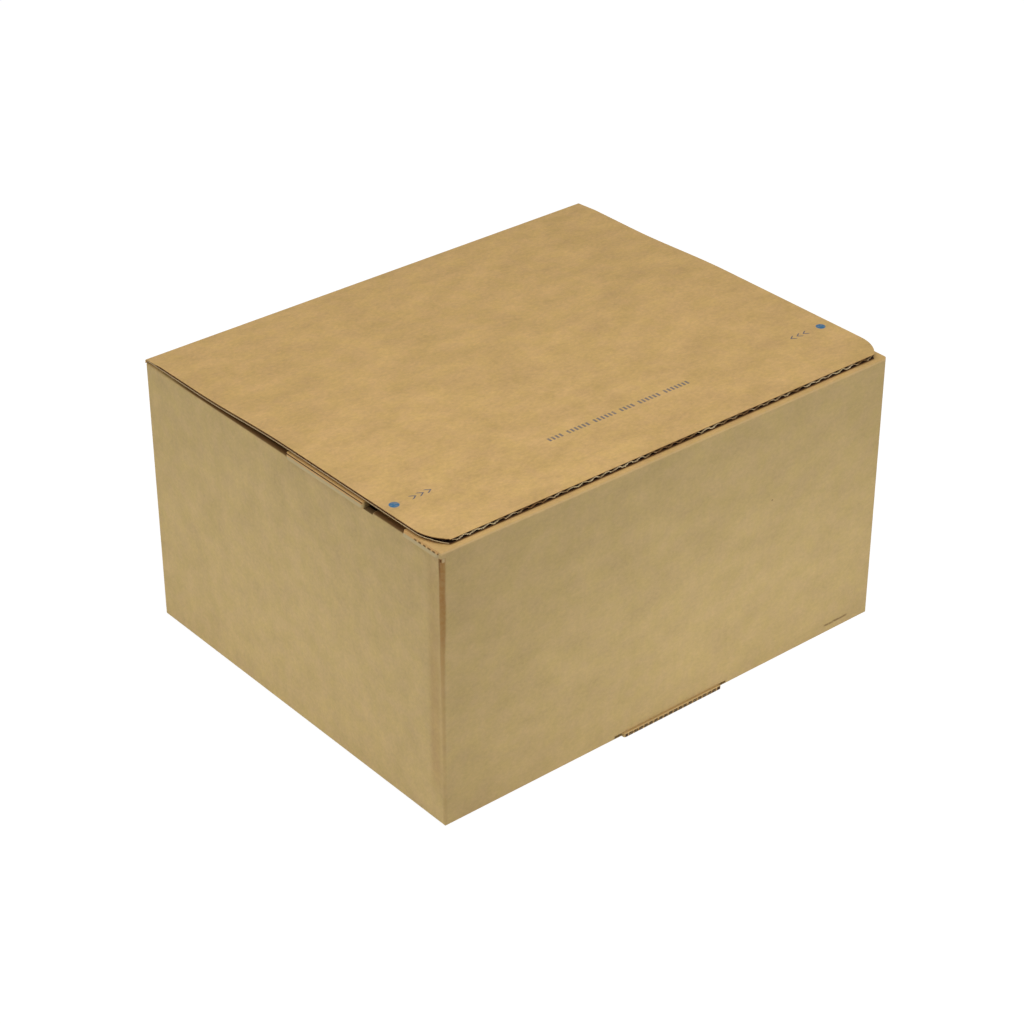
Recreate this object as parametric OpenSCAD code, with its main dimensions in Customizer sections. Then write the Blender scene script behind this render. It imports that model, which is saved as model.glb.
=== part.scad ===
// Folding shipping box: one die-cut sheet of single-wall corrugated board.
// The walls, floor, dust flaps and closing flap stay folded together. The lid turns on its crease.
// Lengths are in millimetres. X runs along the front, the front faces -Y, and the box stands on z = 0.

/* [Box] */
// Outside width, along the front
box_w = 266; // [200:1:400]
// Outside depth, from the front face to the back face
box_d = 221; // [205:1:350]
// Height of the dust flaps' upper face above the ground
flap_z = 139.4; // [60:0.1:250]
// Outer radius of a folded edge
fold_r = 1.5; // [0.5:0.1:2.5]

/* [Board] */
// Thickness of the board
board_t = 3; // [2.6:0.1:4]
// Thickness of each facing paper
liner_t = 0.35; // [0.2:0.05:0.5]
// Thickness of the wavy paper between them
medium_t = 0.3; // [0.2:0.05:0.4]
// Distance from one wave to the next
flute_pitch = 6.6; // [6:0.1:8]
// Air between two flaps that lie on each other
lay_gap = 0.1; // [0.05:0.05:0.3]

/* [Lid] */
// Distance of the lid's cut edge behind the front face
lid_setback = 2.6; // [0:0.1:8]
// Overhang of the lid past each end wall, below zero where the lid is narrower than the box
lid_overhang = 0.4; // [-1:0.1:2]
// Distance of the lid's middle to the right of the box's
lid_shift = 0.5; // [-1:0.1:1]
// Radius of the arcs that round the lid's two front corners
lid_corner_r = 20; // [8:0.5:25]
// Distance that these arcs would still reach past the lid's front edge, which cuts them off at a corner
lid_corner_past = 4.7; // [0:0.1:6]
// Length over which the lid bends up on to the closing flap
lid_bend_l = 70; // [30:1:75]
// Thickness lost where the board is crushed by the lid's crease
crease_crush = 0.8; // [0.2:0.1:1.2]
// Length of the crushed strip beside the crease
crease_l = 14; // [6:1:17]

/* [Closing flap] */
// Length of the closing flap, from the front face to its free edge
closing_l = 108.5; // [80:0.5:112]
// Length of its full-width root beside the front fold
root_l = 24.4; // [12:0.2:30]
// Play between the neck behind the root and the end wall's ridge
neck_play = 0.6; // [0.4:0.1:3]
// Distance from the front face to the ears at the flap's ends
ear_start = 53; // [42:0.5:60]
// Radius of the ears' corners
ear_r = 2; // [1:0.5:4]
// Distance that the lower edge of the flap's slanting ends stands out of the end walls
end_proud = 0.9; // [0:0.1:1.5]

/* [Dust flaps] */
// Width of the opening left between the two dust flaps
dust_opening = 90; // [50:1:120]
// Air between a dust flap's side edge and the back wall
dust_gap = 1.5; // [0.5:0.5:5]
// Length of the corner cut off each dust flap
dust_chamfer = 16; // [5:1:25]
// Height of the ridge that the fold raises along the end wall's top
ridge_h = 0.8; // [0.3:0.1:1.2]
// Width of that ridge
ridge_w = 4.4; // [4.2:0.1:6]
// Length of the slot that stays open in front of an ear
slot_lead = 6.5; // [1:0.5:10]
// Play behind an ear in its slot
slot_play = 0.6; // [0.4:0.1:2]
// Depth of the slot, from the end wall's outer face
slot_depth = 7; // [7:0.5:12]

/* [Floor] */
// Length of the front floor flap
floor_front_l = 62; // [40:1:90]
// Gap between floor flaps that lie side by side
floor_gap = 0.6; // [0.4:0.1:2]
// Gap between the free edges of the two end floor flaps
floor_end_gap = 42; // [20:1:80]
// Length over which an end floor flap steps up from its fold
step_l = 5; // [4:0.5:10]
// Width of the locking tab that shows at the front
tab_w = 61.4; // [30:0.2:66]
// Width of the slot that the tab passes through
slot_w = 70.4; // [68:0.2:110]
// Distance of the tab's middle to the right of the box's middle
tab_shift = 1.8; // [-10:0.2:10]
// Length of the tab that stands out of the front face
tab_proud = 1.8; // [1:0.1:3]
// Radius of the tab's corners
tab_r = 1; // [0.5:0.1:1.5]
// Thickness of the tab, which its slot has crushed
tab_t = 1.6; // [1.3:0.1:2]
// Length over which the tongue behind the tab thickens to the full board
tab_taper_l = 4; // [2:0.5:10]
// Thickness of the crushed board that is left below the slot
slot_floor_t = 0.5; // [0.3:0.1:0.7]
// Play beside the tongue, in the front floor flap
tongue_play = 0.6; // [0.4:0.1:2]

/* [Glued seam] */
// Width of the seam flap inside the right-hand back corner
seam_w = 32; // [20:1:45]
// Distance of the seam flap's ends from the flaps above and below it
seam_gap = 4; // [2:0.5:10]
// Slant of the seam flap's ends
seam_slant = 8; // [2:1:12]
// Width of the joint that shows outside, between the end wall's cut edge and the back wall
joint_w = 0.5; // [0.3:0.1:1]

/* [Hidden] */
$fn = 48;

kraft = [0.72, 0.6, 0.4];
lid_kraft = [0.78, 0.65, 0.43];
reach = 1; // how far a shape goes past a face that it cuts open or joins on to

half_w = box_w / 2;
inner_w = box_w - 2 * board_t;
floor_edge_x = inner_w / 2 - step_l; // the floor's lower layer ends where the end flaps step up
ridge_top = flap_z + ridge_h;
closing_z = flap_z + lay_gap;
closing_top = closing_z + board_t;
lid_front_z = closing_top + lay_gap;
lid_back_z = ridge_top + lay_gap;
lid_w = box_w + 2 * lid_overhang;
lid_back_y = box_d - lay_gap;
bend_steps = 10; // straight stretches along the lid's bend
flap_w = box_w + 2 * end_proud;
neck_w = box_w - 2 * (ridge_w + neck_play);
slot_start = ear_start - slot_lead;
slot_end = closing_l + slot_play;
dust_edge_x = dust_opening / 2;
dust_back_y = box_d - board_t - dust_gap;
layer_z = board_t + lay_gap; // underside of the floor's upper layer
layer_top = layer_z + board_t;
tab_z = slot_floor_t + lay_gap;
y_shift = (tab_proud - box_d) / 2; // brings the middle of the whole depth to y = 0
fold_steps = 5; // straight stretches round the lid's crease

flute_h = board_t - 2 * liner_t;
flute_steps = 4; // straight stretches along one channel's curved side
channel_share = 0.4; // half of a channel's width, as a share of the pitch
flute_rise = (flute_h - medium_t) / 2;
channel_end = 3.5; // board left solid between a channel's inner end and the fold

// Height of the wavy paper's middle at a distance u from its lowest point.
function wave(u) = -flute_rise * cos(360 * u / flute_pitch);
// Half of the wavy paper's thickness, measured straight up, at that distance.
function half_wave_t(u) =
    medium_t / 2 * sqrt(1 + pow(2 * PI / flute_pitch * flute_rise * sin(360 * u / flute_pitch), 2));
// Outline of the air channel over one trough of the wave.
function channel_points() = concat(
    [for (i = [0:flute_steps])
        let (u = flute_pitch * channel_share * (2 * i / flute_steps - 1))
        [u, wave(u) + half_wave_t(u)]],
    [[flute_pitch * channel_share, flute_h / 2], [-flute_pitch * channel_share, flute_h / 2]]);

// The air channels across a width of board, as its cut edge shows them, about the middle of its thickness.
// They lie by turns over a trough of the wavy paper and under a crest.
module channels(width) {
    count = floor(2 * (width - flute_pitch) / flute_pitch) + 1;
    for (i = [0:count - 1])
        translate([(i - (count - 1) / 2) * flute_pitch / 2, 0])
            mirror([0, i % 2])
                polygon(channel_points());
}

// Channels along Y, about x = mid_x, between the depths y0 and y1.
// The board has the thickness t, with its underside at z.
module channels_y(mid_x, width, y0, y1, z, t = board_t) {
    translate([mid_x, y1, z + t / 2])
        rotate([90, 0, 0])
            linear_extrude(y1 - y0)
                scale([1, (t - 2 * liner_t) / flute_h])
                    channels(width);
}

// Channels along X, from x0 to x1, between the depths y0 and y1.
module channels_x(x0, x1, y0, y1, z) {
    translate([x0, (y0 + y1) / 2, z + board_t / 2])
        rotate([90, 0, 90])
            linear_extrude(x1 - x0)
                channels(y1 - y0);
}

// Rectangle from the origin to [width, height], with its lower and its upper corners rounded.
module rounded_rect(width, height, low_r, high_r) {
    difference() {
        square([width, height]);
        for (side = [0, 1])
            translate([side * width, 0])
                mirror([side, 0]) {
                    if (low_r > 0)
                        corner_waste(low_r);
                    if (high_r > 0)
                        translate([0, height])
                            mirror([0, 1])
                                corner_waste(high_r);
                }
    }
}

// What rounding a corner of radius r at the origin takes away.
module corner_waste(r) {
    difference() {
        translate([-reach, -reach])
            square(r + reach);
        translate([r, r])
            circle(r);
    }
}

// A closed block of the walls' outer form: the upright folds and the ground folds are rounded.
module wall_block(height, end_top_r) {
    intersection() {
        translate([-half_w, 0, 0])
            linear_extrude(height)
                rounded_rect(box_w, box_d, fold_r, fold_r);
        translate([-half_w, box_d, 0])
            rotate([90, 0, 0])
                linear_extrude(box_d)
                    rounded_rect(box_w, height, fold_r, end_top_r);
        translate([-half_w, 0, 0])
            rotate([90, 0, 90])
                linear_extrude(box_w)
                    rounded_rect(box_d, height, fold_r, 0);
    }
}

// The front wall, which rises to the closing flap's fold.
module front_wall() {
    intersection() {
        wall_block(closing_top, 0);
        translate([-half_w, 0, 0])
            rotate([90, 0, 90])
                linear_extrude(box_w)
                    intersection() {
                        square([board_t, closing_top]);
                        rounded_rect(box_d, closing_top, fold_r, fold_r);
                    }
    }
}

// The two end walls and the back wall, with the end walls cut down for the closing flap's root and ears.
module other_walls() {
    difference() {
        wall_block(ridge_top, fold_r);
        translate([-inner_w / 2, -reach, -reach])
            cube([inner_w, box_d - board_t + reach, ridge_top + 2 * reach]);
        for (span = [[-reach, root_l], [slot_start, slot_end]])
            translate([-half_w - reach, span[0], flap_z])
                cube([box_w + 2 * reach, span[1] - span[0], ridge_h + reach]);
        translate([half_w - board_t, box_d - board_t - joint_w, -reach])
            cube([board_t + reach, joint_w, ridge_top + 2 * reach]);
    }
}

// The closing flap: a full-width root, a neck, and ears whose ends stand in the end walls' slots.
// The ends of the root and the ears slant, so that their lower edges stand out of the end walls.
module closing_flap() {
    difference() {
        intersection() {
            translate([0, 0, closing_z])
                linear_extrude(board_t) {
                    translate([-flap_w / 2, board_t / 2])
                        rounded_rect(flap_w, root_l - board_t / 2, end_proud, 0);
                    translate([-neck_w / 2, board_t])
                        square([neck_w, closing_l - board_t]);
                    translate([-flap_w / 2, ear_start])
                        rounded_rect(flap_w, closing_l - ear_start, ear_r, ear_r);
                }
            translate([0, closing_l + reach, closing_z])
                rotate([90, 0, 0])
                    linear_extrude(closing_l + 2 * reach)
                        polygon([[-flap_w / 2, 0], [flap_w / 2, 0], [half_w, board_t], [-half_w, board_t]]);
        }
        channels_y(0, neck_w, board_t + channel_end, closing_l + reach, closing_z);
    }
}

// The right-hand dust flap, with the ridge of its fold and the slot for the ear.
module dust_flap() {
    root_x = half_w - board_t;
    difference() {
        union() {
            translate([0, 0, flap_z - board_t])
                linear_extrude(board_t)
                    polygon([
                        [root_x + reach, root_l],
                        [root_x + reach, dust_back_y],
                        [dust_edge_x + dust_chamfer, dust_back_y],
                        [dust_edge_x, dust_back_y - dust_chamfer],
                        [dust_edge_x, root_l + dust_chamfer],
                        [dust_edge_x + dust_chamfer, root_l]
                    ]);
            translate([0, dust_back_y, 0])
                rotate([90, 0, 0])
                    linear_extrude(dust_back_y - root_l)
                        polygon([
                            [root_x + reach, flap_z - reach],
                            [root_x + reach, ridge_top],
                            [root_x, ridge_top],
                            [half_w - ridge_w, flap_z],
                            [half_w - ridge_w, flap_z - reach]
                        ]);
        }
        channels_x(dust_edge_x - reach, root_x - channel_end, root_l, dust_back_y, flap_z - board_t);
        translate([half_w - slot_depth, slot_start, flap_z - board_t - reach])
            cube([slot_depth - board_t, slot_end - slot_start, board_t + ridge_h + 2 * reach]);
        translate([root_x - reach, slot_start, flap_z])
            cube([board_t, slot_end - slot_start, ridge_h + reach]);
    }
}

// The front wall and its floor flap, with the tab's slot in the wall and room for the tongue in the flap.
module slotted_front() {
    difference() {
        union() {
            front_wall();
            translate([-floor_edge_x, board_t / 2, 0])
                cube([2 * floor_edge_x, floor_front_l - board_t / 2, board_t]);
        }
        translate([tab_shift - slot_w / 2, -reach, slot_floor_t])
            cube([slot_w, board_t + reach, tab_t + 2 * lay_gap]);
        translate([tab_shift - tab_w / 2 - tongue_play, board_t, -reach])
            cube([tab_w + 2 * tongue_play, floor_front_l - board_t + reach, layer_z + reach]);
    }
}

// The back floor flap, whose tongue thins to a tab that reaches through the front wall's slot.
module floor_back() {
    flap_y = floor_front_l + floor_gap;
    full_y = board_t + tab_taper_l;
    difference() {
        union() {
            translate([-floor_edge_x, flap_y, 0])
                cube([2 * floor_edge_x, box_d - flap_y - board_t / 2, board_t]);
            intersection() {
                translate([tab_shift - tab_w / 2, -tab_proud, 0])
                    linear_extrude(board_t)
                        rounded_rect(tab_w, tab_proud + flap_y + reach, tab_r, 0);
                translate([tab_shift - tab_w / 2, 0, 0])
                    rotate([90, 0, 90])
                        linear_extrude(tab_w)
                            polygon([
                                [-tab_proud, tab_z],
                                [board_t + lay_gap, tab_z],
                                [full_y, 0],
                                [flap_y + reach, 0],
                                [flap_y + reach, board_t],
                                [full_y, board_t],
                                [board_t + lay_gap, tab_z + tab_t],
                                [-tab_proud, tab_z + tab_t]
                            ]);
            }
        }
        channels_y(tab_shift, tab_w, -tab_proud - reach, board_t, tab_z, tab_t);
    }
}

// The right-hand end floor flap, which steps up from its fold on to the other two.
module floor_end() {
    edge_x = floor_end_gap / 2;
    root_x = inner_w / 2;
    y0 = board_t + floor_gap;
    y1 = box_d - board_t - floor_gap;
    difference() {
        translate([0, y1, 0])
            rotate([90, 0, 0])
                linear_extrude(y1 - y0)
                    polygon([
                        [edge_x, layer_z],
                        [floor_edge_x, layer_z],
                        [root_x, 0],
                        [root_x + reach, 0],
                        [root_x + reach, board_t],
                        [root_x, board_t],
                        [floor_edge_x, layer_top],
                        [edge_x, layer_top]
                    ]);
        channels_x(edge_x - reach, floor_edge_x - channel_end, y0, y1, layer_z);
    }
}

// The seam flap folded in from the back wall and glued to the inside of the right-hand end wall.
module seam_flap() {
    low_z = layer_top + seam_gap;
    high_z = flap_z - board_t - seam_gap;
    translate([inner_w / 2 - board_t, box_d - board_t, 0])
        rotate([90, 0, 90])
            linear_extrude(board_t)
                polygon([
                    [reach, low_z],
                    [reach, high_z],
                    [0, high_z],
                    [-seam_w, high_z - seam_slant],
                    [-seam_w, low_z + seam_slant],
                    [0, low_z]
                ]);
}

// The folded sheet without its lid.
module box_body() {
    color(kraft)
        translate([0, y_shift, 0]) {
            slotted_front();
            other_walls();
            closing_flap();
            floor_back();
            seam_flap();
            for (side = [0, 1])
                mirror([side, 0, 0]) {
                    dust_flap();
                    floor_end();
                }
        }
}

// How far the lid has risen, as a share of its whole rise, at a depth y: 1 on the closing flap, 0 behind it.
function lid_rise(y) = (1 + cos(180 * (y - closing_l) / lid_bend_l)) / 2;
function lid_bend_points(front_z, back_z) = [
    for (i = [0:bend_steps])
        let (y = closing_l + lid_bend_l * i / bend_steps)
        [y, back_z + (front_z - back_z) * lid_rise(y)]
];
function reversed(points) = [for (i = [len(points) - 1:-1:0]) points[i]];

// Side view of the lid: flat on the closing flap, bent down behind it, and crushed beside its crease.
module lid_profile() {
    crease_top = lid_back_z + board_t - crease_crush;
    polygon(concat(
        [[lid_setback, lid_front_z]],
        lid_bend_points(lid_front_z, lid_back_z),
        [[lid_back_y, lid_back_z]],
        [for (a = [0:90 / fold_steps:90])
            [lid_back_y - fold_r * (1 - cos(a)), crease_top - fold_r * (1 - sin(a))]],
        [[lid_back_y - crease_l, lid_back_z + board_t]],
        reversed(lid_bend_points(lid_front_z + board_t, lid_back_z + board_t)),
        [[lid_setback, lid_front_z + board_t]]
    ));
}

// The lid, with its crease along the back wall's top.
module lid() {
    color(lid_kraft)
        translate([lid_shift, y_shift, 0])
            difference() {
                intersection() {
                    translate([-lid_w / 2, 0, 0])
                        rotate([90, 0, 90])
                            linear_extrude(lid_w)
                                lid_profile();
                    translate([-lid_w / 2, lid_setback - lid_corner_past, lid_back_z - reach])
                        linear_extrude(lid_front_z + board_t - lid_back_z + 2 * reach)
                            rounded_rect(lid_w, box_d + lid_corner_past, lid_corner_r, 0);
                }
                channels_y(0, lid_w, lid_setback - reach, closing_l - channel_end, lid_front_z);
            }
}

box_body();
lid();
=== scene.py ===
import math
import random

import bmesh
import bpy
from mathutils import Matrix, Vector


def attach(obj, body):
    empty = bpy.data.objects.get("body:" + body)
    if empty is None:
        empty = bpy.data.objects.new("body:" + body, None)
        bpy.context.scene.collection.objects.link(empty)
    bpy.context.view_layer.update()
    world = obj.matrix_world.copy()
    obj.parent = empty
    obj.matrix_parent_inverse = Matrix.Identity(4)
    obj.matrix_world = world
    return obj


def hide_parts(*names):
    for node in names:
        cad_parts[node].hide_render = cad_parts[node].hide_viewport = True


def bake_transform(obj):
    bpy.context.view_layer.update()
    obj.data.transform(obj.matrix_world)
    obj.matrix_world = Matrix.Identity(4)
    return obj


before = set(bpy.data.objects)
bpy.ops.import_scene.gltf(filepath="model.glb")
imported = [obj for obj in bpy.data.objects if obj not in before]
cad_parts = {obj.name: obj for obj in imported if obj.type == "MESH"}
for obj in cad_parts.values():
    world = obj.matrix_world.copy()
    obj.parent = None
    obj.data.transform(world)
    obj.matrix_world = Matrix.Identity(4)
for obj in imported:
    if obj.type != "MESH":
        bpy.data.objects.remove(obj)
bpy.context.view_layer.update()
sameSpot = 1e-5  # vertices nearer than this to a place are taken to lie there
print("frame loaded")


def startPiece(name):  # names the new primitive and goes into edit mode
    piece = bpy.context.object
    piece.name = name
    piece.data.name = name
    bpy.ops.object.mode_set(mode="EDIT")
    bpy.ops.mesh.select_mode(type="VERT")
    return piece


def endPiece(piece, smoothAngle):
    bpy.ops.object.mode_set(mode="OBJECT")
    bpy.ops.object.transform_apply(location=True, rotation=True, scale=True)
    bpy.ops.object.shade_smooth_by_angle(angle=math.radians(smoothAngle))


def pick(test):  # selects the vertices whose place passes the test
    mesh = bmesh.from_edit_mesh(bpy.context.object.data)
    for vertex in mesh.verts:
        vertex.select_set(test(vertex.co))
    mesh.select_flush(True)
    mesh.select_flush(False)
    bmesh.update_edit_mesh(bpy.context.object.data)


def cutAcross(place, direction, dropOuter=False):  # cuts through the whole piece
    bpy.ops.mesh.select_all(action="SELECT")
    bpy.ops.mesh.bisect(plane_co=place, plane_no=direction, clear_outer=dropOuter, threshold=1e-6)


def move(x=0, y=0, z=0):
    bpy.ops.transform.translate(value=(x, y, z))


def useModifier(piece, kind, **settings):
    modifier = piece.modifiers.new(kind.title(), kind)
    for key, value in settings.items():
        setattr(modifier, key, value)
    bpy.ops.object.modifier_apply(modifier=modifier.name)


# The lid is two facing papers with a wavy paper between them. All its values are in metres.
lidBoard = {
    "width": 0.2668,
    "shift": 0.0005,
    "frontY": -0.107,
    "backY": 0.1113,
    "cornerRadius": 0.02,
    "cornerPast": 0.0047,  # the corner arcs would reach this far past the front edge
    "cornerSteps": 15,
    "thickness": 0.003,
    "facing": 0.00035,
    "frontUnderZ": 0.1426,
    "backUnderZ": 0.1403,
    "bendFrom": -0.0011,  # the lid lies flat on the closing flap up to here
    "bendTo": 0.0689,
    "bendSteps": 12,
    "frontRows": (0.0012, 0.003, 0.006, 0.0095),  # extra rows of vertices, behind the front edge
    "creaseFrom": 0.0973,  # the board is crushed from here to the crease
    "creaseCrush": 0.0008,
    "creaseGap": 0.0001,  # air between the end of the board and the back wall's outer face
    "foldRadius": 0.0015,
    "foldSteps": 6,
    "wallTopZ": 0.1402,
    "frontPress": 0.0004,  # the knife has pressed the upper facing down at the front edge
    "pressBehind": 0.35,  # share of that in the first row behind
    "frontCrush": 0.0003,  # and it has pressed the lower facing up, less at the front than at the sides
    "sideCrush": 0.0013,
    "crushWidth": 0.002,
    "lowerInset": 0.0003,  # the lower facing ends this far inside the upper one, at the sides
}
halfWidth = lidBoard["width"] / 2
arcStart = math.acos(1 - lidBoard["cornerPast"] / lidBoard["cornerRadius"])
cornerTurns = [math.radians(degrees) for degrees in (45, 55, 65, 75, 85)]


def lidUnderZ(y):  # underside of the lid, which rises on to the closing flap
    share = (y - lidBoard["bendFrom"]) / (lidBoard["bendTo"] - lidBoard["bendFrom"])
    rise = (1 + math.cos(math.pi * min(max(share, 0), 1))) / 2
    return lidBoard["backUnderZ"] + (lidBoard["frontUnderZ"] - lidBoard["backUnderZ"]) * rise


def crushAt(y, backY):
    share = (y - lidBoard["creaseFrom"]) / (backY - lidBoard["creaseFrom"])
    return lidBoard["creaseCrush"] * min(max(share, 0), 1)


def lidRows(backY):  # the depths that the lid is cut across at, so that it can bend there
    count = lidBoard["bendSteps"]
    bendLength = lidBoard["bendTo"] - lidBoard["bendFrom"]
    bend = [lidBoard["bendFrom"] + bendLength * i / count for i in range(count + 1)]
    front = [lidBoard["frontY"] + step for step in lidBoard["frontRows"]]
    return front + bend + [lidBoard["creaseFrom"], (lidBoard["creaseFrom"] + backY) / 2]


def cornerPlace(side, turn, inset=0):  # a place on a front corner's arc, turned from the front to the side
    radius = lidBoard["cornerRadius"]
    x = halfWidth - radius + (radius - inset) * math.sin(turn)
    y = lidBoard["frontY"] - lidBoard["cornerPast"] + radius - (radius - inset) * math.cos(turn)
    return Vector((lidBoard["shift"] + side * x, y, 0))


def roundTheCorner(vertices):
    # for each vertex near a front corner's arc: its place, the way inwards, its share of the way from the
    # front to the side, and how near it lies to the arc
    found = []
    for co in [vertex.co.copy() for vertex in vertices]:
        centre = cornerPlace(math.copysign(1, co.x - lidBoard["shift"]), 0, lidBoard["cornerRadius"])
        inwards = Vector((centre.x - co.x, centre.y - co.y, 0))
        share = (math.atan2(abs(inwards.x), inwards.y) - arcStart) / (math.pi / 2 - arcStart)
        nearness = 1 - (lidBoard["cornerRadius"] - inwards.length) / lidBoard["crushWidth"]
        if 0.001 < share < 0.999 and nearness > 0.001:
            found.append((co, inwards.normalized(), share, min(1, nearness)))
    return found


def facingPaper(name, backY, height):
    startY = lidBoard["frontY"] - lidBoard["cornerPast"]
    baseZ = height(lidBoard["frontY"])
    bpy.ops.object.select_all(action="DESELECT")
    bpy.ops.mesh.primitive_plane_add(size=1, location=(0, 0, 0))
    paper = startPiece(name)
    bpy.ops.transform.resize(value=(lidBoard["width"], backY - startY, 1))
    move(x=lidBoard["shift"], y=(startY + backY) / 2, z=baseZ)
    pick(lambda co: co.y < 0)
    bpy.ops.mesh.bevel(offset=lidBoard["cornerRadius"], segments=lidBoard["cornerSteps"], affect="VERTICES")
    cutAcross((0, lidBoard["frontY"], 0), (0, -1, 0), dropOuter=True)
    for y in lidRows(backY):
        cutAcross((0, y, 0), (0, 1, 0))
    for y in lidRows(backY) + [backY]:
        pick(lambda co: abs(co.y - y) < sameSpot)
        move(z=height(y) - baseZ)
    return paper


# upper facing, which goes on over the crease to the back wall's top
backFoldY = lidBoard["backY"] + lidBoard["creaseGap"] - lidBoard["foldRadius"]
upperFacing = facingPaper(
    "lidUpperFacing", backFoldY,
    lambda y: lidUnderZ(y) + lidBoard["thickness"] - crushAt(y, backFoldY),
)
for depth, share in ((0, 1), (lidBoard["frontRows"][0], lidBoard["pressBehind"])):
    pick(lambda co: abs(co.y - lidBoard["frontY"] - depth) < sameSpot)
    move(z=-lidBoard["frontPress"] * share)
pick(lambda co: co.y > backFoldY - sameSpot)
for i in range(lidBoard["foldSteps"]):
    start, end = (math.radians(90 * k / lidBoard["foldSteps"]) for k in (i, i + 1))
    along = lidBoard["foldRadius"] * (math.sin(end) - math.sin(start))
    down = lidBoard["foldRadius"] * (math.cos(end) - math.cos(start))
    bpy.ops.mesh.extrude_region_move(TRANSFORM_OT_translate={"value": (0, along, down)})
foldTop = lidBoard["backUnderZ"] + lidBoard["thickness"] - lidBoard["creaseCrush"]
lastDrop = foldTop - lidBoard["foldRadius"] - lidBoard["wallTopZ"]
for share in (0.8, 0.2):  # down to the wall's top, with a row just above it
    bpy.ops.mesh.extrude_region_move(TRANSFORM_OT_translate={"value": (0, 0, -lastDrop * share)})
bpy.ops.object.mode_set(mode="OBJECT")
useModifier(upperFacing, "SOLIDIFY", thickness=lidBoard["facing"], offset=-1)
endPiece(upperFacing, smoothAngle=35)

# lower facing, pressed up towards the upper one along the cut edges
lowerFacing = facingPaper("lidLowerFacing", lidBoard["backY"], lambda y: lidUnderZ(y) + lidBoard["facing"])
for side in (-1, 1):
    cutAcross((lidBoard["shift"] + side * (halfWidth - lidBoard["crushWidth"]), 0, 0), (1, 0, 0))
    for turn in cornerTurns:
        place = cornerPlace(side, turn, lidBoard["crushWidth"])
        cutAcross(place, (side * math.sin(turn), -math.cos(turn), 0))
pick(lambda co: co.y < lidBoard["frontY"] + sameSpot)
move(z=lidBoard["frontCrush"])
pick(lambda co: abs(co.x - lidBoard["shift"]) > halfWidth - sameSpot)
move(z=lidBoard["sideCrush"])
for place, inwards, share, nearness in roundTheCorner(bmesh.from_edit_mesh(lowerFacing.data).verts):
    pick(lambda co: (co - place).length < sameSpot)
    inset = lidBoard["lowerInset"] * nearness
    rise = lidBoard["frontCrush"] + (lidBoard["sideCrush"] - lidBoard["frontCrush"]) * min(1, 2 * share)
    move(x=inwards.x * inset, y=inwards.y * inset, z=rise * nearness)
for side in (-1, 1):
    pick(lambda co: side * (co.x - lidBoard["shift"]) > halfWidth - sameSpot)
    move(x=-side * lidBoard["lowerInset"])
bpy.ops.object.mode_set(mode="OBJECT")
useModifier(lowerFacing, "SOLIDIFY", thickness=lidBoard["facing"], offset=-1)
endPiece(lowerFacing, smoothAngle=35)

# wavy paper: one wave is drawn step by step and repeated across the lid
wave = {
    "paper": 0.0003,
    "pitch": 0.0066,
    "steps": 16,
    "flattest": 0.3,  # share of its height that the most crushed wave keeps at the front edge
    "fullest": 0.68,  # and that the least crushed one keeps
    "secondRow": 0.85,  # what they all keep in the row behind
    "raggedness": 0.00024,
    "seed": 7,
}
waveRise = (lidBoard["thickness"] - 2 * lidBoard["facing"] - wave["paper"]) / 2
waveStep = wave["pitch"] / wave["steps"]
waveCount = math.ceil(lidBoard["width"] / wave["pitch"])
waveStart = lidBoard["shift"] - waveCount * wave["pitch"] / 2
waveLength = backFoldY - lidBoard["frontY"]
waveMidZ = lidBoard["frontUnderZ"] + lidBoard["thickness"] / 2


def waveHeight(i):
    return -waveRise * math.cos(2 * math.pi * i / wave["steps"])


bpy.ops.object.select_all(action="DESELECT")
bpy.ops.mesh.primitive_plane_add(size=1, location=(0, 0, 0))
wavyPaper = startPiece("lidWavyPaper")
bpy.ops.transform.resize(value=(waveStep, waveLength, 1))
move(x=waveStart + waveStep / 2, y=lidBoard["frontY"] + waveLength / 2, z=waveMidZ + waveHeight(0))
pick(lambda co: co.x > waveStart + waveStep / 2)
move(z=waveHeight(1) - waveHeight(0))
for i in range(1, wave["steps"]):
    rise = waveHeight(i + 1) - waveHeight(i)
    bpy.ops.mesh.extrude_region_move(TRANSFORM_OT_translate={"value": (waveStep, 0, rise)})
bpy.ops.object.mode_set(mode="OBJECT")
useModifier(
    wavyPaper, "ARRAY", count=waveCount, use_relative_offset=False, use_constant_offset=True,
    constant_offset_displace=(wave["pitch"], 0, 0), use_merge_vertices=True, merge_threshold=sameSpot,
)
bpy.ops.object.mode_set(mode="EDIT")
for side in (-1, 1):
    edge = lidBoard["shift"] + side * (halfWidth - lidBoard["crushWidth"])
    cutAcross((edge, 0, 0), (side, 0, 0), dropOuter=True)
    for turn in cornerTurns:
        inset = lidBoard["crushWidth"] * math.sin(turn) ** 2
        cutAcross(cornerPlace(side, turn, inset), (side * math.sin(turn), -math.cos(turn), 0), dropOuter=True)
waveRows = lidRows(backFoldY)
for y in waveRows:
    cutAcross((0, y, 0), (0, 1, 0))
for y in waveRows + [backFoldY]:
    pick(lambda co: abs(co.y - y) < sameSpot)
    move(z=lidUnderZ(y) - lidBoard["frontUnderZ"])
    squeeze = 1 - crushAt(y, backFoldY) / (2 * waveRise)
    foot = (0, y, lidUnderZ(y) + lidBoard["facing"] + wave["paper"] / 2)
    bpy.ops.transform.resize(value=(1, 1, squeeze), center_override=foot)

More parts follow.
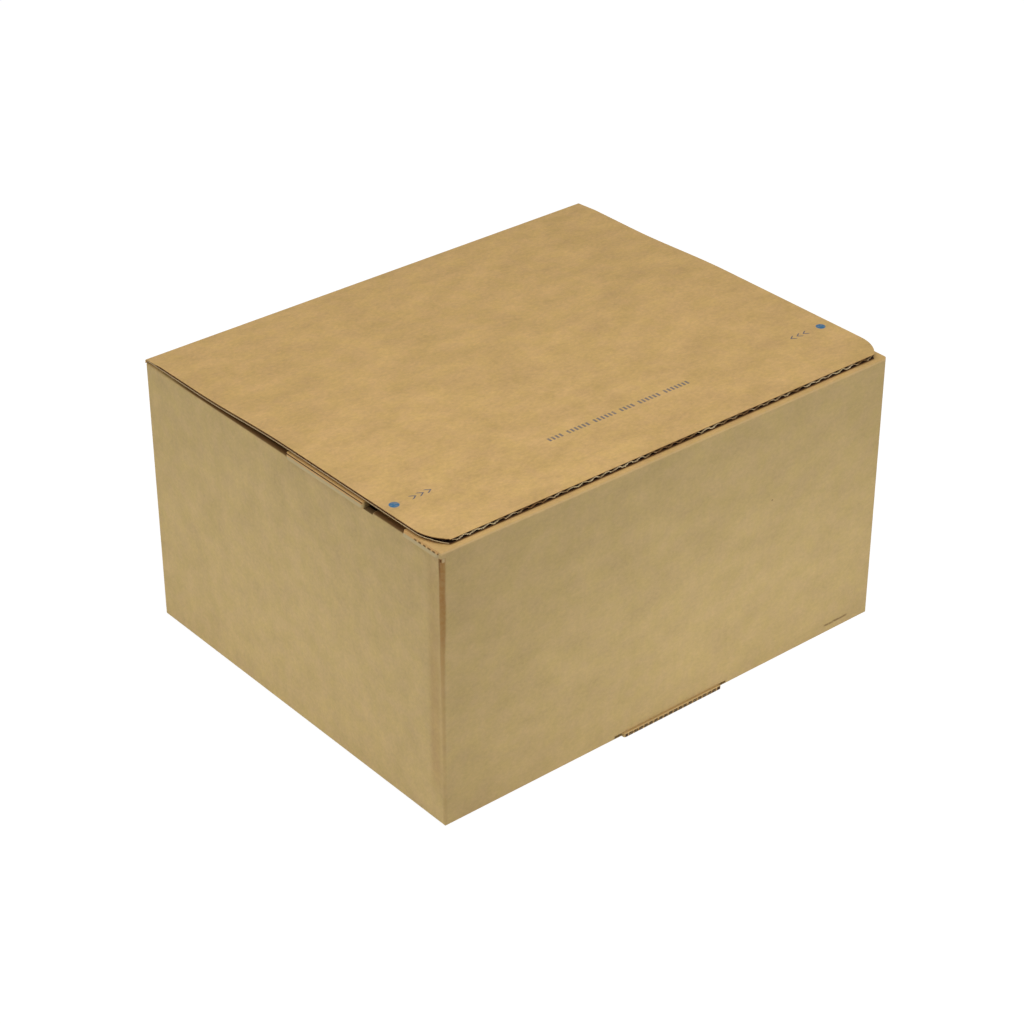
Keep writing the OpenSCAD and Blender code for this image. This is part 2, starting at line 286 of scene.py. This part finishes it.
# at the front edge each wave is crushed by a chance amount
chance = random.Random(wave["seed"])
for i in range(waveCount):
    fromX = waveStart + i * wave["pitch"]
    pick(lambda co: fromX <= co.x < fromX + wave["pitch"] and co.y < lidBoard["frontY"] + sameSpot)
    squeeze = chance.uniform(wave["flattest"], wave["fullest"])
    bpy.ops.transform.resize(value=(1, 1, squeeze), center_override=(0, 0, waveMidZ))
pick(lambda co: abs(co.y - waveRows[0]) < sameSpot)
bpy.ops.transform.resize(value=(1, 1, wave["secondRow"]), center_override=(0, 0, waveMidZ))
pick(lambda co: co.y < lidBoard["frontY"] + sameSpot)
bpy.ops.transform.vertex_random(offset=wave["raggedness"], uniform=0.5, normal=0.5, seed=wave["seed"])
bpy.ops.object.mode_set(mode="OBJECT")
useModifier(wavyPaper, "SOLIDIFY", thickness=wave["paper"], offset=0)
endPiece(wavyPaper, smoothAngle=60)
print("lid made")


class Wire:  # a socket that takes part in Python expressions
    def __init__(self, tree, socket=None):
        self.tree = tree
        self.socket = socket

    def make(self, kind, settings=None, inputs=None, output=0):
        node = self.tree.nodes.new(kind)
        for key, value in (settings or {}).items():
            setattr(node, key, value)
        for key, value in (inputs or {}).items():
            if isinstance(value, Wire):
                self.tree.links.new(value.socket, node.inputs[key])
            else:
                node.inputs[key].default_value = value
        return Wire(self.tree, node.outputs[output])

    def other(self, output):  # another output of the same node
        return Wire(self.tree, self.socket.node.outputs[output])

    def to(self, socket):
        self.tree.links.new(self.socket, socket)

    def math(self, operation, *values):
        return self.make("ShaderNodeMath", {"operation": operation}, dict(enumerate(values)))

    def __add__(self, other):
        return self.math("ADD", self, other)

    def __radd__(self, other):
        return self.math("ADD", other, self)

    def __sub__(self, other):
        return self.math("SUBTRACT", self, other)

    def __rsub__(self, other):
        return self.math("SUBTRACT", other, self)

    def __mul__(self, other):
        return self.math("MULTIPLY", self, other)

    def __mod__(self, other):
        return self.math("FLOORED_MODULO", self, other)

    def __abs__(self):
        return self.math("ABSOLUTE", self)

    def least(self, other):
        return self.math("MINIMUM", self, other)

    def most(self, other):
        return self.math("MAXIMUM", self, other)

    def rising(self, low, high):  # 0 below low, 1 above high, smooth between them
        settings = {"interpolation_type": "SMOOTHSTEP"}
        return self.make("ShaderNodeMapRange", settings, {"Value": self, "From Min": low, "From Max": high})

    def falling(self, low, high):
        return 1 - self.rising(low, high)

    def within(self, limit, soft):  # 1 below the limit, with a soft end
        return self.falling(limit - soft / 2, limit + soft / 2)

    def between(self, low, high, soft):  # 1 from low to high, with soft ends
        return self.rising(low - soft / 2, low + soft / 2) * self.within(high, soft)

    def wave(self, pitch):  # 1 at each multiple of the pitch, 0 half-way between
        return self.math("COSINE", self * (2 * math.pi / pitch)) * 0.5 + 0.5

    def noise(self, scale, detail, roughness):
        values = {"Vector": self, "Scale": scale, "Detail": detail, "Roughness": roughness}
        return self.make("ShaderNodeTexNoise", None, values)

    def stretched(self, x, y, z):
        return self.make("ShaderNodeVectorMath", {"operation": "MULTIPLY"}, {0: self, 1: (x, y, z)})

    def mixColour(self, first, second):  # self is the share of the second colour
        return self.make("ShaderNodeMix", {"data_type": "RGBA"}, {0: self, 6: first, 7: second}, output=2)

    def tinted(self, colour):
        settings = {"data_type": "RGBA", "blend_type": "MULTIPLY"}
        return self.make("ShaderNodeMix", settings, {0: 1.0, 6: self, 7: colour}, output=2)


def screen(red, green, blue):  # a screen colour in 0 to 255, as a shader takes it
    shares = [c / 255 for c in (red, green, blue)]
    return tuple(c / 12.92 if c <= 0.04045 else ((c + 0.055) / 1.055) ** 2.4 for c in shares) + (1.0,)


def grey(share):
    return (share, share, share, 1.0)


def shifted(place, *offsets):  # the places that lie these offsets from a place
    return [place + offset for offset in offsets]


kraftLook = {
    # The top colour is the same kraft as the wall colour, painted lighter and warmer where light from above
    # falls on the upward faces: painted light.
    "top": screen(206, 171, 114),
    "wall": screen(194, 169, 118),
    "inside": screen(187, 159, 111),
    "olive": (0.99, 1.0, 0.93, 1.0),
    "rosy": (1.01, 0.996, 1.04, 1.0),
    "darkest": 0.6,
    "palest": 1.4,
    "blotchScale": 85,
    "grainScale": 620,
    "fibreScale": 2100,
    "hueScale": 120,
    "blotchShare": 0.45,  # how much each of the three gives to the paper's mottle
    "grainShare": 0.4,
    "fibreShare": 0.15,
    "specular": 0.25,
    "roughness": 0.8,
    "grainRoughness": 0.12,
    "wavePitch": 0.0066,
    "waveTone": 0.012,
    "waveBump": 0.05,  # in millimetres, as the next two
    "grainBump": 0.05,
    "fibreBump": 0.03,
    "bumpStrength": 0.6,
}


class Kraft:  # kraft paper's own look, and the places that the rest of a material is drawn by
    def __init__(self, name, contrast):
        self.material = bpy.data.materials.new(name)
        self.material.use_nodes = True
        self.shader = self.material.node_tree.nodes["Principled BSDF"]
        self.shader.inputs["Roughness"].default_value = kraftLook["roughness"]
        self.shader.inputs["Specular IOR Level"].default_value = kraftLook["specular"]
        self.start = Wire(self.material.node_tree)
        place = self.start.make("ShaderNodeTexCoord", output="Object")
        normal = place.other("Normal")
        self.x = place.make("ShaderNodeSeparateXYZ", None, {0: place})
        self.y = self.x.other("Y")
        self.z = self.x.other("Z")
        self.up = normal.make("ShaderNodeSeparateXYZ", None, {0: normal}).other("Z")
        self.blotches = place.stretched(0.6, 1, 1).noise(kraftLook["blotchScale"], 4, 0.6)
        self.grain = place.stretched(0.75, 1, 1).noise(kraftLook["grainScale"], 3, 0.7)
        self.fibres = place.stretched(0.45, 1.2, 1.2).noise(kraftLook["fibreScale"], 2, 0.6)
        mottle = self.blotches * kraftLook["blotchShare"] + self.grain * kraftLook["grainShare"]
        mottle = mottle + self.fibres * kraftLook["fibreShare"]
        self.tone = (mottle - 0.5) * contrast + 0.5
        hue = place.noise(kraftLook["hueScale"], 4, 0.6).rising(0.3, 0.7)
        self.hue = hue.mixColour(kraftLook["olive"], kraftLook["rosy"])

    def paper(self, base):
        shade = self.tone.mixColour(grey(kraftLook["darkest"]), grey(kraftLook["palest"]))
        return self.hue.tinted(base).tinted(shade)

    def finish(self, colour, waves, layers):  # each layer is where it lies, and its colour
        for where, paint in layers:
            colour = where.mixColour(colour, paint)
        colour.to(self.shader.inputs["Base Color"])
        smoothest = kraftLook["roughness"] - kraftLook["grainRoughness"] / 2
        roughness = self.grain * kraftLook["grainRoughness"] + smoothest
        roughness.to(self.shader.inputs["Roughness"])
        height = waves * kraftLook["waveBump"] + self.grain * kraftLook["grainBump"]
        height = height + self.fibres * kraftLook["fibreBump"]
        values = {"Strength": kraftLook["bumpStrength"], "Distance": 0.001, "Height": height}
        bump = self.start.make("ShaderNodeBump", None, values)
        bump.to(self.shader.inputs["Normal"])
        return self.material


# Print on the lid, with places in metres from the lid's middle: a dot and three arrows at each end,
# and a row of plain marks between them.
printLook = {
    "ink": screen(58, 112, 152),
    "arrowInk": screen(78, 90, 110),
    "middle": 0,
    "lineY": -0.0713,
    "askew": -0.004,  # how far the line of print drifts forward, for each metre to the right
    "dotX": 0.1271,
    "dotRadius": 0.00235,
    "arrowsFrom": 0.1068,
    "arrowPitch": 0.00405,
    "arrowHeight": 0.0032,
    "arrowDepth": 0.0024,
    "arrowStroke": 0.0011,
    "arrowGap": 0.0002,  # between an arrow's tip and the place that its pitch is counted from
    "markHeight": 0.0028,
    "markPitch": 0.00222,
    "markWidth": 0.0012,
    "markGap": 0.0004,
    "marksEachSide": 19,
    "missing": (-15, -8, -1, 4, 11),  # marks left out of the row, counted from its middle
    "sharpness": 0.0002,
    "patches": (0.35, 0.55),  # the ink lies thinner between the fibres, by up to the next value
    "patchiness": 0.25,
    "dotStrength": 0.75,
    "arrowStrength": 0.65,
    "markStrength": 0.85,  # next to an arrow's
}


def printLayers(kraft):
    look = printLook
    soft = look["sharpness"]
    x = kraft.x - look["middle"]
    out = abs(x)
    off = abs(kraft.y - look["lineY"] - x * look["askew"])
    fromDot = out - look["dotX"]
    radius = kraft.start.math("SQRT", fromDot * fromDot + off * off)
    dots = radius.within(look["dotRadius"], soft)
    # an arrow's strokes run outwards from its tip, which is the nearest place to the middle
    slant = out - look["arrowsFrom"] - off * (2 * look["arrowDepth"] / look["arrowHeight"])
    gap = look["arrowGap"]
    strokes = (slant % look["arrowPitch"]).between(gap, gap + look["arrowStroke"], soft)
    arrows = strokes * slant.between(0, 2 * look["arrowPitch"] + look["arrowStroke"] + soft, soft)
    arrows = arrows * off.within(look["arrowHeight"] / 2, soft)
    gap = look["markGap"]
    marks = (x % look["markPitch"]).between(gap, gap + look["markWidth"], soft)
    marks = marks * off.within(look["markHeight"] / 2, soft)
    rowHalf = look["marksEachSide"] * look["markPitch"]
    marks = marks * out.falling(rowHalf, rowHalf + soft)
    number = kraft.start.math("FLOOR", x * (1 / look["markPitch"]))
    for missing in look["missing"]:
        marks = marks * abs(number - missing).rising(0.4, 0.6)
    upside = kraft.up.rising(0.5, 0.6)
    patchy = kraft.grain.rising(*look["patches"]) * look["patchiness"]
    small = arrows + marks * look["markStrength"]
    return [
        (dots * upside * (patchy + look["dotStrength"]), look["ink"]),
        (small * upside * (patchy + look["arrowStrength"]), look["arrowInk"]),
    ]


cutLook = {  # the lid's papers at their cut edges
    "upperEdge": screen(140, 104, 62),
    # The lower facing's front cut edge is painted dark as the shadow under the lid's front edge: painted
    # shadow.
    "shadowLowerEdge": screen(98, 68, 36),
    # The lower facing's edge at the sides and corners is painted pale as a lit line: painted highlight.
    "highlightSideEdge": screen(206, 182, 142),
    "waveEdge": screen(226, 206, 166),
    "waveShade": screen(134, 100, 62),
    "hollowShade": screen(52, 30, 14),
    "sideHollowShade": screen(186, 146, 96),
    "paler": (0.008, 0.018),  # the painted shade in the hollow between the papers grows paler this far behind the front edge
    "hollow": (0.0003, 0.0014),  # and the wavy paper takes the hollow's painted shade this far behind it
    "highlightStrip": (-0.0006, -0.0004),  # the lower facing's painted highlight strip, from the lid's sides
    "behind": (0.0003, 0.0006),  # and from the front edge
    "upperEnd": (-0.01, -0.009),  # the upper facing's edge shows up to here, from the lid's back
}


# Painted shade in the hollows between the lid's papers: the facings' inner sides and the wavy paper behind
# its cut edge are painted dark, darkest near the front edge.
def paintedHollowShade(kraft):
    side = (kraft.y - lidBoard["frontY"]).rising(*cutLook["paler"])
    return side.mixColour(cutLook["hollowShade"], cutLook["sideHollowShade"])


def upperFacingMaterial():
    kraft = Kraft("lidKraft", 1.3)
    underside = kraft.up.falling(-0.6, -0.5)
    rim = abs(kraft.up).falling(0.3, 0.4)
    rim = rim * kraft.y.falling(*shifted(lidBoard["backY"], *cutLook["upperEnd"]))
    layers = [(underside, paintedHollowShade(kraft)), (rim, cutLook["upperEdge"])] + printLayers(kraft)
    return kraft.finish(kraft.paper(kraftLook["top"]), kraft.x.wave(kraftLook["wavePitch"]), layers)


def lowerFacingMaterial():
    kraft = Kraft("lidUnderside", 0.8)
    depth = kraft.y - lidBoard["frontY"]
    upside = kraft.up.rising(0.7, 0.8)
    rim = abs(kraft.up).falling(0.62, 0.7)
    side = abs(kraft.x - lidBoard["shift"]).rising(*shifted(halfWidth, *cutLook["highlightStrip"]))
    side = side.most(depth.rising(*cutLook["behind"]) * rim)
    layers = [(upside, paintedHollowShade(kraft)), (rim, cutLook["shadowLowerEdge"]), (side, cutLook["highlightSideEdge"])]
    return kraft.finish(kraft.paper(kraftLook["inside"]), kraft.x.wave(kraftLook["wavePitch"]), layers)


def wavyMaterial():
    kraft = Kraft("wavyKraft", 0.8)
    deep = (kraft.y - lidBoard["frontY"]).rising(*cutLook["hollow"])
    patches = kraft.blotches.rising(0.42, 0.58)
    edge = patches.mixColour(cutLook["waveShade"], cutLook["waveEdge"])
    return kraft.finish(kraft.paper(edge), kraft.grain, [(deep, paintedHollowShade(kraft))])


# The body's places are in metres in the shared frame, and follow the CAD's outer faces.
bodyLook = {
    "frontY": -0.1096,
    "backY": 0.1114,
    "endX": 0.133,
    "board": 0.003,
    # the crease colour is also painted shade where the tab's upper face meets the front wall
    "crease": screen(156, 109, 54),
    # the darker crease colour below is also the painted shade under the lid's edge, on the dust flaps' folds
    "deepCreaseAndShade": screen(100, 66, 32),
    "cutPale": screen(188, 170, 130),
    "cutWarmAndHighlight": screen(204, 162, 104),
    # the warm cut colour is also a painted highlight on the flap ends' rims, and the dark cut colour is
    # painted shade in flutes and slots
    "paintedCutShade": screen(74, 50, 26),
    # a pale colour painted where light catches: painted highlight on the front left corner's top, along the
    # front fold and on the tab's upper face
    "paintedHighlight": screen(206, 186, 146),
    "flapZ": 0.1394,  # underside of the closing flap
    "flapTopZ": 0.1424,
    "dustZ": 0.1363,
    "dustEnd": (0.0448, 0.045),  # where the dust flaps end, from the middle
    "channelPitch": 0.0031,
    "soft": 0.0001,  # how soft the ends of most painted places are
}

# Places across the front left fold are above 0 on the front wall and below 0 on the end wall. A place
# with a third number goes from the first to the second, and the third says how soft its ends are.
foldLook = {
    "foldBandStrength": 0.1,  # how much darker every upright fold is
    "foldBand": (0.0004, 0.0018),
    "stray": 0.0012,  # how far the bruise strays from its line
    "upper": (0.06, 0.12),  # heights that the bruise grows strong between
    "foot": (0.02, 0.06),
    "upperStrength": 0.62,
    "footStrength": 0.16,
    "bruiseFrom": (-0.0021, -0.0009),
    "bruiseTo": 0.0018,
    "upperExtra": 0.0012,  # how much further it goes at the top
    "fade": 0.0014,
    "grains": (0.3, 0.65),
    "core": (-0.0014, -0.0004, 0.0008),  # the darkest line, at its top
    "coreZ": (0.126, 0.137),
    "second": (-0.009, -0.002, 0.004),  # a faint second line on the end wall
    "secondZ": (0.02, 0.135, 0.02),
    "paintedHighlight": (0.0006, 0.0020, 0.0006),
    "highlightZ": (0.1374, 0.1392, 0.0006),
    "notch": (-0.0008, 0.0002, 0.0004),
    "notchZ": (0.1376, 0.139, 0.0004),
}


def cornerLayers(kraft):  # the upright folds; the front left one is bruised dark towards its top
    look = bodyLook
    x, y, z = kraft.x, kraft.y, kraft.z
    out = abs(x)
    outer = out.rising(*shifted(look["endX"], -0.0031, -0.0029))
    outer = outer.most(y.falling(*shifted(look["frontY"], 0.0029, 0.0031)))
    fromFold = (look["endX"] - out) + (y - look["frontY"]).least(look["backY"] - y)
    worn = outer * fromFold.falling(*foldLook["foldBand"]) * foldLook["foldBandStrength"]
    past = (look["endX"] + x) - (y - look["frontY"]) + (kraft.blotches - 0.5) * foldLook["stray"]
    upper = z.rising(*foldLook["upper"])
    fading = upper * foldLook["upperExtra"] + foldLook["bruiseTo"] - past
    bruise = past.rising(*foldLook["bruiseFrom"]) * fading.rising(0, foldLook["fade"])
    foot = z.rising(*foldLook["foot"]) * foldLook["footStrength"]
    bruise = bruise * outer * (upper * foldLook["upperStrength"] + foot)
    bruise = bruise * (kraft.grain.rising(*foldLook["grains"]) * 0.3 + 0.75)
    core = past.between(*foldLook["core"]) * z.rising(*foldLook["coreZ"]) * outer * 0.6
    second = past.between(*foldLook["second"]) * z.between(*foldLook["secondZ"])
    second = second * outer * (0.24 - upper * 0.1)
    below = z.falling(*shifted(look["flapZ"], -0.0002, 0.0001))
    # a painted highlight at the top of the front left corner
    paintedHighlight = past.between(*foldLook["paintedHighlight"]) * z.between(*foldLook["highlightZ"]) * outer
    notch = past.between(*foldLook["notch"]) * z.between(*foldLook["notchZ"]) * outer
    return [
        (worn * below, look["crease"]),
        (bruise.most(second) * below, look["crease"]),
        (core.most(notch) * below, look["deepCreaseAndShade"]),
        (paintedHighlight * 0.7, look["paintedHighlight"]),
    ]


flapEndLook = {
    "rim": (-0.0014, -0.0012),  # these three are heights from the flap's upper face
    "fluteShade": (-0.0008, -0.0003),
    "channels": (-0.0014, -0.0007),
    "rootY": (-0.08, -0.079),  # the painted shade of the flute valley starts behind this
    "channelsY": (-0.094, -0.09),  # and the cut channels show in front of this, painted dark as shade
    "frontFoldShade": (-0.0852, -0.085, -0.0634, -0.0632),  # where the painted shade under the lid's edge, on a fold beside the end, starts and stops
    "backFoldShade": (-0.0005, -0.0003, 0.07, 0.108),
    "foldShadeX": (-0.0045, -0.004),  # from the end wall's outer face, as the next
    "slotX": (-0.0075, -0.0001),
    "slotY": (-0.0631, -0.0566),  # the open slot in front of an ear, painted dark inside as shade
}


def flapEndLayers(kraft):  # the closing flap's cut ends, and painted shade under the lid's edge on the dust flaps' folds between them
    look, ends = bodyLook, flapEndLook
    y, z = kraft.y, kraft.z
    out = abs(kraft.x)
    end = out.rising(*shifted(look["endX"], -0.00004, 0.00002))
    end = end * z.rising(*shifted(look["flapZ"], 0.00002, 0.00007))
    root = y.falling(*ends["rootY"])
    rim = z.rising(*shifted(look["flapTopZ"], *ends["rim"]))
    fluteShade = z.between(*shifted(look["flapTopZ"], *ends["fluteShade"]), 0.0002) * (1 - root)
    dashes = (y.wave(look["channelPitch"]) * 0.6 + kraft.grain * 0.8).rising(0.45, 0.8)
    dashes = dashes * z.between(*shifted(look["flapTopZ"], *ends["channels"]), 0.0003)
    dashes = dashes * y.falling(*ends["channelsY"])
    paleness = z.rising(*shifted(look["flapZ"], 0, 0.0009)) * 0.6 + 0.4
    # On the cut end: a painted highlight along its rim, and painted shade in the flute valley below it and in
    # the cut channels.
    layers = [
        (end * paleness, look["cutPale"]),
        (end * rim, look["cutWarmAndHighlight"]),
        (end * fluteShade, look["paintedCutShade"]),
        (end * dashes * 0.8, look["paintedCutShade"]),
    ]
    beside = out.rising(*shifted(look["endX"], *ends["foldShadeX"]))
    # painted shade under the lid's edge, on the dust flaps' folds beside the closing flap's ends
    for start, full, fading, stop in (ends["frontFoldShade"], ends["backFoldShade"]):
        foldShade = y.rising(start, full) * y.falling(fading, stop)
        foldShade = foldShade * z.rising(*shifted(look["flapZ"], 0.0001, 0.0006))
        layers.append((foldShade * beside * 0.9, look["deepCreaseAndShade"]))
    # painted shade inside the open slot in front of an ear
    slotShade = y.between(*ends["slotY"], look["soft"])
    slotShade = slotShade * z.rising(*shifted(look["dustZ"], -0.0006, 0))
    slotShade = slotShade * out.between(*shifted(look["endX"], *ends["slotX"]), look["soft"])
    layers.append((slotShade * 0.85, look["paintedCutShade"]))
    return layers


cutEdgeLook = {
    "freeX": (0.1258, 0.1262),  # the flaps' free edges lie inside these, away from the walls
    "freeFront": (-0.1052, -0.1048),
    "freeBack": (0.1068, 0.1072),
    "floorSlack": (0.0003, 0.0004),  # above the floor's two layers of board
    "tabX": 0.0018,
    "tabHalf": 0.0307,
    "tabY": -0.1113,
    "fluteShadeZ": (0.0023, 0.0026),  # the painted shade of the flute openings in the tab's cut edge reaches up to here
    "fluteShadeStray": 0.003,
    "ledgeZ": (0.003, 0.004),
    "lit": (0.0004, 0.001),  # the tab's upper face has a painted highlight this far behind its cut edge, and painted shade behind that
}


def cutLayers(kraft):  # free edges of the flaps inside, and the locking tab's front, with painted shade and a painted highlight on it
    look, cut = bodyLook, cutEdgeLook
    x, y, z = kraft.x, kraft.y, kraft.z
    free = abs(x).falling(*cut["freeX"]) * y.rising(*cut["freeFront"]) * y.falling(*cut["freeBack"])
    flaps = z.falling(*shifted(2 * look["board"], *cut["floorSlack"]))
    flaps = flaps.most(z.rising(*shifted(look["dustZ"], 0, look["soft"])))
    free = free * flaps * abs(kraft.up).falling(0.2, 0.4)
    tab = y.falling(*shifted(cut["tabY"], -look["soft"] / 2, 0))
    tab = tab * abs(x - cut["tabX"]).falling(*shifted(cut["tabHalf"], 0, 0.0002))
    # painted shade in the flute openings along the lower part of the tab's cut edge
    dashes = (x.wave(look["channelPitch"]) * 0.7 + kraft.blotches * 0.6).rising(0.36, 0.5)
    fluteShade = ((kraft.grain - 0.5) * cut["fluteShadeStray"] + z).falling(*cut["fluteShadeZ"]) * dashes
    # on the tab's upper face: painted shade where it meets the wall, and a painted highlight along its cut
    # edge
    ledge = y.falling(*shifted(look["frontY"], -look["soft"], 0)) * kraft.up.rising(0.5, 0.6)
    ledge = ledge * z.falling(*cut["ledgeZ"])
    lit = y.falling(*shifted(cut["tabY"], *cut["lit"]))
    return [
        (free * 0.8, look["cutPale"]),
        (ledge * (1 - lit) * 0.45, look["crease"]),
        (ledge * lit * 0.5, look["paintedHighlight"]),
        (tab * 0.8, look["cutWarmAndHighlight"]),
        (tab * fluteShade, look["paintedCutShade"]),
    ]


markLook = {
    "colour": screen(118, 92, 58),
    "scuffX": (0.103, 0.1185, 0.002),
    "scuffZ": (0.0042, 0.0052, 0.0008),
    "scuffStray": 0.003,
    "speckX": 0.0616,
    "speckZ": 0.0925,
    "speckEdge": (0.0003, 0.0007),
    "speckStrength": 0.6,
}


def markLayers(kraft):  # a scuff near the foot of the front wall, and a speck above it
    front = kraft.y.falling(*shifted(bodyLook["frontY"], 0.0001, 0.0002))
    scuff = (kraft.z + (kraft.blotches - 0.5) * markLook["scuffStray"]).between(*markLook["scuffZ"])
    scuff = scuff * kraft.x.between(*markLook["scuffX"])
    scuff = scuff * (kraft.grain.rising(0.35, 0.5) * 0.6 + 0.2)
    across, above = kraft.x - markLook["speckX"], kraft.z - markLook["speckZ"]
    distance = kraft.start.math("SQRT", across * across + above * above)
    speck = distance.falling(*markLook["speckEdge"])
    return [(front * scuff.most(speck * markLook["speckStrength"]), markLook["colour"])]


topLook = {  # heights from the closing flap's upper face
    "top": (-0.0014, -0.001),
    "foldBand": (-0.0011, -0.0005, 0.0004),  # a painted highlight along the front fold
    "foldBandStrength": 0.35,
    "insideTop": -0.0004,
}


def bodyMaterial():
    look = bodyLook
    kraft = Kraft("bodyKraft", 1.0)
    x, y, z = kraft.x, kraft.y, kraft.z
    soft, out = look["soft"], abs(x)
    innerX, innerFront, innerBack = (
        look["endX"] - look["board"], look["frontY"] + look["board"], look["backY"] - look["board"])
    ends = out.rising(innerX - soft, innerX)
    dustFlaps = z.between(look["dustZ"], look["flapZ"], 0.00004) * out.rising(*look["dustEnd"])
    alongY = ends.most(dustFlaps)
    waves = alongY * y.wave(kraftLook["wavePitch"]) + (1 - alongY) * x.wave(kraftLook["wavePitch"])
    kraft.tone = kraft.tone + (waves - 0.5) * kraftLook["waveTone"]
    # the closing flap's upper face takes the painted lit colour of the lid's top
    top = z.rising(*shifted(look["flapTopZ"], *topLook["top"]))
    low, high, softness = topLook["foldBand"]
    # a painted highlight along the front fold
    foldBand = z.between(*shifted(look["flapTopZ"], low, high), softness) * topLook["foldBandStrength"]
    foldBand = foldBand * y.falling(*shifted(innerFront, 0, 0.0005))
    inner = out.falling(innerX + soft, innerX + 2 * soft)
    inner = inner * y.between(innerFront - soft, innerBack + soft, soft)
    inner = inner * z.between(look["board"] - soft, look["flapTopZ"] + topLook["insideTop"], soft)
    layers = [
        (top, kraft.paper(kraftLook["top"])),
        (inner, kraft.paper(kraftLook["inside"])),
        (foldBand, look["paintedHighlight"]),
    ]
    layers += cornerLayers(kraft) + flapEndLayers(kraft) + cutLayers(kraft) + markLayers(kraft)
    return kraft.finish(kraft.paper(kraftLook["wall"]), waves, layers)


def dress(piece, material):
    piece.data.materials.clear()
    piece.data.materials.append(material)


dress(upperFacing, upperFacingMaterial())
dress(lowerFacing, lowerFacingMaterial())
dress(wavyPaper, wavyMaterial())
dress(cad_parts["box_body"], bodyMaterial())
dress(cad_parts["lid"], lowerFacing.data.materials[0])
print("materials made")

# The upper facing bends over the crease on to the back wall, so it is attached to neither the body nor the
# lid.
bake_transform(upperFacing)
for piece in (lowerFacing, wavyPaper):
    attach(piece, "lid")
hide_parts("lid")

studio = {
    "floorSize": 12,
    "floorGrey": 0.7,  # how light the floor is for the box
    "shadowGrey": 0.2,  # what a shadow can take from the white that the camera sees
    "floorGlow": 0.93,
    "ambient": 0.3,
    "skyWhite": 1.0,
    "lights": {  # place, target, width, height, power and colour
        "topLight": ((-0.18, -0.28, 0.9), (0, 0, 0.14), 0.8, 0.8, 5, (1, 0.97, 0.9)),
        "leftLight": ((-1.5, 0.5, 0.4), (0, 0, 0.05), 0.8, 0.8, 2, (1, 1, 1)),
        "frontCard": ((0.07, -0.27, 0.02), (0.07, 0, 0.03), 0.34, 0.03, 0.132, (1, 1, 1)),
        "leftCard": ((-0.33, 0.03, 0.02), (0, 0.03, 0.03), 0.34, 0.03, 0.145, (1, 1, 1)),
    },
    "lens": 94.163,  # in millimetres
    "cameraPlace": (-0.70681, -0.84370, 0.73339),
    "cameraTurn": (58.4932, 0.0321, -39.8420),
}


def seenDirectly(start):  # what the camera sees, also in gloss and through glass
    path = start.make("ShaderNodeLightPath", output="Is Camera Ray")
    return path.most(path.other("Is Glossy Ray")).most(path.other("Is Transmission Ray"))


# The floor lights the box as a plain white floor does, and the camera sees it white with a faint shadow.
bpy.ops.object.select_all(action="DESELECT")
bpy.ops.mesh.primitive_plane_add(size=studio["floorSize"], location=(0, 0, 0))
floor = bpy.context.object
floor.name = "floor"
floorMaterial = bpy.data.materials.new("floorWhite")
floorMaterial.use_nodes = True
floorMaterial.node_tree.nodes.clear()
start = Wire(floorMaterial.node_tree)
plain = start.make("ShaderNodeBsdfDiffuse", None, {"Color": grey(studio["floorGrey"])})
shadowed = start.make("ShaderNodeBsdfDiffuse", None, {"Color": grey(studio["shadowGrey"])})
glow = start.make("ShaderNodeEmission", None, {"Color": grey(1), "Strength": studio["floorGlow"]})
white = start.make("ShaderNodeAddShader", None, {0: shadowed, 1: glow})
mixed = start.make("ShaderNodeMixShader", None, {0: seenDirectly(start), 1: plain, 2: white})
mixed.to(floorMaterial.node_tree.nodes.new("ShaderNodeOutputMaterial").inputs["Surface"])
dress(floor, floorMaterial)

world = bpy.data.worlds.new("studioWorld")
bpy.context.scene.world = world
world.use_nodes = True
world.node_tree.nodes.clear()
start = Wire(world.node_tree)
dim = start.make("ShaderNodeBackground", None, {"Color": grey(1), "Strength": studio["ambient"]})
bright = start.make("ShaderNodeBackground", None, {"Color": grey(1), "Strength": studio["skyWhite"]})
sky = start.make("ShaderNodeMixShader", None, {0: seenDirectly(start), 1: dim, 2: bright})
sky.to(world.node_tree.nodes.new("ShaderNodeOutputWorld").inputs["Surface"])

for name, (place, target, width, height, power, colour) in studio["lights"].items():
    aim = Vector(target) - Vector(place)
    bpy.ops.object.light_add(type="AREA", location=place, rotation=aim.to_track_quat("-Z", "Y").to_euler())
    light = bpy.context.object
    light.name = name
    light.data.shape = "RECTANGLE"
    light.data.size = width
    light.data.size_y = height
    light.data.energy = power
    light.data.color = colour
    light.visible_camera = False

turn = [math.radians(angle) for angle in studio["cameraTurn"]]
bpy.ops.object.camera_add(location=studio["cameraPlace"], rotation=turn)
camera = bpy.context.object
camera.data.lens = studio["lens"]
camera.data.clip_start = 0.01
bpy.context.scene.camera = camera
bpy.context.scene.view_settings.view_transform = "Standard"
print("studio made")
